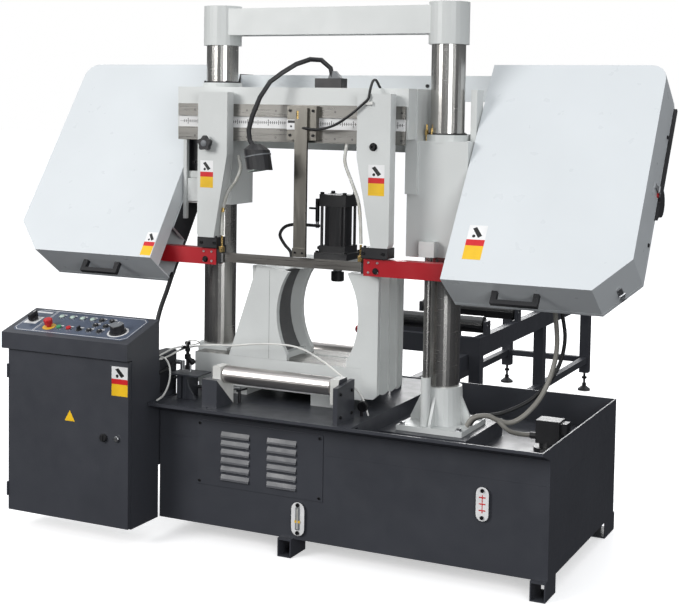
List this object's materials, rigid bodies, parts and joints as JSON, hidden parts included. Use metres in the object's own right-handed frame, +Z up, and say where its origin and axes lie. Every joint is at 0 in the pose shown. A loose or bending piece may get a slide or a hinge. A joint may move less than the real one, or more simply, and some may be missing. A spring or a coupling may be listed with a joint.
{
  "type": "horizontal band saw",
  "caption": "Twin-column hydraulic horizontal band saw with tilted wheel covers, sliding vise, top clamp, control cabinet and a rear roller table.",
  "frame": {"origin": "on the floor, at the middle of the bounding box", "axes": "+Z up; -Y is the operator's side, with the cabinet; +Y runs along the roller table; +X to the operator's right"},
  "size_m": [2.834, 4.17, 2.295],
  "materials": {
    "slate_paint": "satin powder coat",
    "white_paint": "satin paint",
    "grey_paint": "satin paint on castings",
    "red_paint": "gloss paint",
    "chrome": "hard chrome, ground",
    "ground_steel": "ground steel",
    "black_plastic": "moulded",
    "yellow_plastic": "moulded",
    "green_plastic": "moulded",
    "red_plastic": "moulded",
    "grey_plastic": "moulded",
    "dark_iron": "black enamel"
  },
  "bodies": {
    "base": {"tank": "slate_paint", "tray": "slate_paint", "vent_panel": "slate_paint", "right_column_base": "white_paint", "left_column": "chrome", "right_column": "chrome", "top_beam": "white_paint", "lift_cylinder": "white_paint", "bed": "grey_paint", "fixed_jaw": "grey_paint", "coolant_pump": "black_plastic", "cabinet": "slate_paint", "table_frame": "slate_paint", "pendant_box": "yellow_plastic"},
    "saw_bow": {"slideway_beam": "grey_paint", "slide_rails": "ground_steel", "rear_beam": "white_paint", "blade": "ground_steel", "drive_unit": "dark_iron", "lamp": "black_plastic", "feeler_slider": "ground_steel", "left_sleeve": "grey_paint", "right_sleeve": "grey_paint", "left_wheel_box": "white_paint", "right_wheel_box": "white_paint", "right_guide_arm": "grey_paint", "right_blade_guide": "dark_iron", "right_blade_guard": "red_paint"},
    "left_guide_carriage": {"left_guide_arm": "grey_paint", "left_blade_guide": "dark_iron", "left_blade_guard": "red_paint"},
    "vise_carriage": {"moving_jaw": "grey_paint", "clamp_cylinder": "dark_iron"},
    "front_roller": {"front_roller": "chrome"},
    "clamp_ram": {"clamp_ram": "dark_iron"},
    "cabinet_door": {"cabinet_door": "slate_paint"},
    "door_knob": {"door_knob": "black_plastic"},
    "main_switch": {"main_switch": "black_plastic"},
    "speed_knob": {"speed_knob": "grey_plastic"},
    "selector": {"selector": "black_plastic"},
    "emergency_stop": {"emergency_stop": "red_plastic"},
    "button_start": {"button_start": "green_plastic"},
    "button_stop": {"button_stop": "red_plastic"},
    "feeler_bar": {"feeler_bar": "ground_steel"},
    "star_knob": {"star_knob": "black_plastic"},
    "idler_wheel": {"idler_wheel": "dark_iron"},
    "drive_wheel": {"drive_wheel": "dark_iron"},
    "pendant_stop": {"pendant_stop": "red_plastic"},
    "button_saw_up": {"button_saw_up": "black_plastic"},
    "button_saw_down": {"button_saw_down": "black_plastic"},
    "button_vise_open": {"button_vise_open": "black_plastic"},
    "button_vise_close": {"button_vise_close": "black_plastic"},
    "button_clamp_up": {"button_clamp_up": "black_plastic"},
    "button_clamp_down": {"button_clamp_down": "black_plastic"},
    "left_cover": {"left_cover": "white_paint"},
    "right_cover": {"right_cover": "white_paint"},
    "table_roller_1": {"table_roller_1": "ground_steel"},
    "table_roller_2": {"table_roller_2": "ground_steel"},
    "table_roller_3": {"table_roller_3": "ground_steel"},
    "table_roller_4": {"table_roller_4": "ground_steel"}
  },
  "joints": [
    {"name": "saw_lift", "type": "slide", "parent": "base", "child": "saw_bow", "axis": [0, 0, 1], "range_m": [-0.425, 0.09]},
    {"name": "left_guide_slide", "type": "slide", "parent": "saw_bow", "child": "left_guide_carriage", "axis": [1, 0, 0], "range_m": [-0.08, 0.23]},
    {"name": "star_knob_turn", "type": "hinge", "parent": "left_guide_carriage", "child": "star_knob", "pos_m": [-0.458, -1.7005, 1.692], "axis": [0, -1, 0], "range_deg": [0, 360]},
    {"name": "feeler_slide", "type": "slide", "parent": "saw_bow", "child": "feeler_bar", "axis": [0, 0, 1], "range_m": [-0.07, 0.1]},
    {"name": "left_cover_hinge", "type": "hinge", "parent": "saw_bow", "child": "left_cover", "pos_m": [-1.0435, -1.0809, 1.9334], "axis": [-1, 0, 0], "range_deg": [0, 75]},
    {"name": "right_cover_hinge", "type": "hinge", "parent": "saw_bow", "child": "right_cover", "pos_m": [1.0435, -1.0809, 1.9334], "axis": [-1, 0, 0], "range_deg": [0, 75]},
    {"name": "drive_wheel_spin", "type": "hinge", "parent": "saw_bow", "child": "drive_wheel", "pos_m": [1.0425, -1.47341, 1.45298], "axis": [0, -0.8241, 0.5664], "continuous": true},
    {"name": "idler_wheel_spin", "type": "hinge", "parent": "saw_bow", "child": "idler_wheel", "pos_m": [-1.0425, -1.47341, 1.45298], "axis": [0, -0.8241, 0.5664], "continuous": true},
    {"name": "vise_slide", "type": "slide", "parent": "base", "child": "vise_carriage", "axis": [1, 0, 0], "range_m": [-0.1, 0.27]},
    {"name": "clamp_slide", "type": "slide", "parent": "vise_carriage", "child": "clamp_ram", "axis": [0, 0, -1], "range_m": [0, 0.18]},
    {"name": "front_roller_spin", "type": "hinge", "parent": "base", "child": "front_roller", "pos_m": [0, -1.805, 0.722], "axis": [1, 0, 0], "continuous": true},
    {"name": "table_roller_1_spin", "type": "hinge", "parent": "base", "child": "table_roller_1", "pos_m": [0, 0.015, 0.72], "axis": [1, 0, 0], "continuous": true},
    {"name": "table_roller_2_spin", "type": "hinge", "parent": "base", "child": "table_roller_2", "pos_m": [0, 0.535, 0.72], "axis": [1, 0, 0], "continuous": true},
    {"name": "table_roller_3_spin", "type": "hinge", "parent": "base", "child": "table_roller_3", "pos_m": [0, 1.055, 0.72], "axis": [1, 0, 0], "continuous": true},
    {"name": "table_roller_4_spin", "type": "hinge", "parent": "base", "child": "table_roller_4", "pos_m": [0, 1.575, 0.72], "axis": [1, 0, 0], "continuous": true},
    {"name": "cabinet_door_hinge", "type": "hinge", "parent": "base", "child": "cabinet_door", "pos_m": [-1.235, -2.073, 0.43], "axis": [0, 0, -1], "range_deg": [0, 110]},
    {"name": "door_knob_turn", "type": "hinge", "parent": "cabinet_door", "child": "door_knob", "pos_m": [-0.729, -2.071, 0.455], "axis": [0, -1, 0], "range_deg": [0, 90]},
    {"name": "main_switch_turn", "type": "hinge", "parent": "base", "child": "main_switch", "pos_m": [-1.185, -1.95885, 0.89886], "axis": [0, -0.2944, 0.9557], "range_deg": [0, 90]},
    {"name": "speed_knob_turn", "type": "hinge", "parent": "base", "child": "speed_knob", "pos_m": [-0.717, -1.99134, 0.88885], "axis": [0, -0.2944, 0.9557], "range_deg": [-135, 135]},
    {"name": "selector_turn", "type": "hinge", "parent": "base", "child": "selector", "pos_m": [-0.909, -2.00472, 0.88473], "axis": [0, -0.2944, 0.9557], "range_deg": [-45, 45]},
    {"name": "emergency_stop_press", "type": "slide", "parent": "base", "child": "emergency_stop", "axis": [0, 0.2944, -0.9557], "range_m": [0, 0.006]},
    {"name": "pendant_stop_press", "type": "slide", "parent": "base", "child": "pendant_stop", "axis": [1, 0, 0], "range_m": [0, 0.006]},
    {"name": "button_start_press", "type": "slide", "parent": "base", "child": "button_start", "axis": [0, 0.2944, -0.9557], "range_m": [0, 0.004], "stiffness_N_per_m": 400, "springref_m": -0.001},
    {"name": "button_stop_press", "type": "slide", "parent": "base", "child": "button_stop", "axis": [0, 0.2944, -0.9557], "range_m": [0, 0.004], "stiffness_N_per_m": 400, "springref_m": -0.001},
    {"name": "button_saw_up_press", "type": "slide", "parent": "base", "child": "button_saw_up", "axis": [0, 0.2944, -0.9557], "range_m": [0, 0.004], "stiffness_N_per_m": 400, "springref_m": -0.001},
    {"name": "button_saw_down_press", "type": "slide", "parent": "base", "child": "button_saw_down", "axis": [0, 0.2944, -0.9557], "range_m": [0, 0.004], "stiffness_N_per_m": 400, "springref_m": -0.001},
    {"name": "button_vise_open_press", "type": "slide", "parent": "base", "child": "button_vise_open", "axis": [0, 0.2944, -0.9557], "range_m": [0, 0.004], "stiffness_N_per_m": 400, "springref_m": -0.001},
    {"name": "button_vise_close_press", "type": "slide", "parent": "base", "child": "button_vise_close", "axis": [0, 0.2944, -0.9557], "range_m": [0, 0.004], "stiffness_N_per_m": 400, "springref_m": -0.001},
    {"name": "button_clamp_up_press", "type": "slide", "parent": "base", "child": "button_clamp_up", "axis": [0, 0.2944, -0.9557], "range_m": [0, 0.004], "stiffness_N_per_m": 400, "springref_m": -0.001},
    {"name": "button_clamp_down_press", "type": "slide", "parent": "base", "child": "button_clamp_down", "axis": [0, 0.2944, -0.9557], "range_m": [0, 0.004], "stiffness_N_per_m": 400, "springref_m": -0.001}
  ],
  "couplings": [
    {"joint": "idler_wheel_spin", "follows": "drive_wheel_spin", "ratio": 1}
  ]
}
